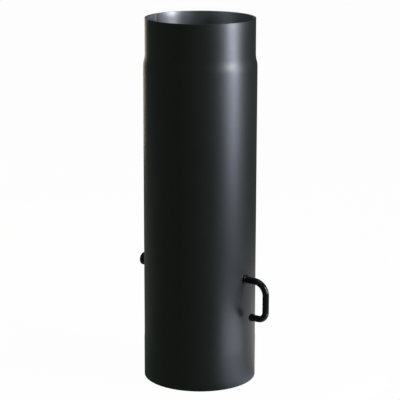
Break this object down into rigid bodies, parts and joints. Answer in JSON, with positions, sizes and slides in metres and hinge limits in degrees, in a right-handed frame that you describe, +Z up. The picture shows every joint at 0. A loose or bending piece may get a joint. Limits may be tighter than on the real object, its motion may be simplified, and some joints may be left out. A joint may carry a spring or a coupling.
{
  "type": "stove pipe with damper",
  "caption": "Straight black steel stove pipe with a drawn-in spigot, a socket end and a turning damper plate worked by a D-shaped bar handle.",
  "frame": {"origin": "centre of the bottom mouth, in the plane of the bottom rim", "axes": "+Z up the pipe to the spigot, +X along the damper shaft towards its handle, +Y to the nuts' side of the open blade"},
  "size_m": [0.2165, 0.1546, 0.5],
  "materials": {
    "heat_paint": "satin black heat-resistant paint",
    "plated_steel": "zinc plated, dulled",
    "spring_steel": "dark drawn spring wire"
  },
  "bodies": {
    "flue_pipe": {"pipe": "heat_paint", "wall_washer": "plated_steel"},
    "damper": {"damper_shaft": "heat_paint", "damper_blade": "heat_paint", "saddle_handle_side": "heat_paint", "saddle_far_side": "heat_paint", "set_collar": "heat_paint", "saddle_screw_1": "plated_steel", "lock_washer_1": "plated_steel", "saddle_nut_1": "plated_steel", "saddle_screw_2": "plated_steel", "lock_washer_2": "plated_steel", "saddle_nut_2": "plated_steel", "saddle_screw_3": "plated_steel", "lock_washer_3": "plated_steel", "saddle_nut_3": "plated_steel", "saddle_screw_4": "plated_steel", "lock_washer_4": "plated_steel", "saddle_nut_4": "plated_steel", "spring_washer": "plated_steel", "grub_screw": "plated_steel", "shaft_spring": "spring_steel"}
  },
  "joints": [
    {"name": "damper_turn", "type": "hinge", "parent": "flue_pipe", "child": "damper", "pos_m": [0, 0, 0.15], "axis": [1, 0, 0], "continuous": true}
  ]
}
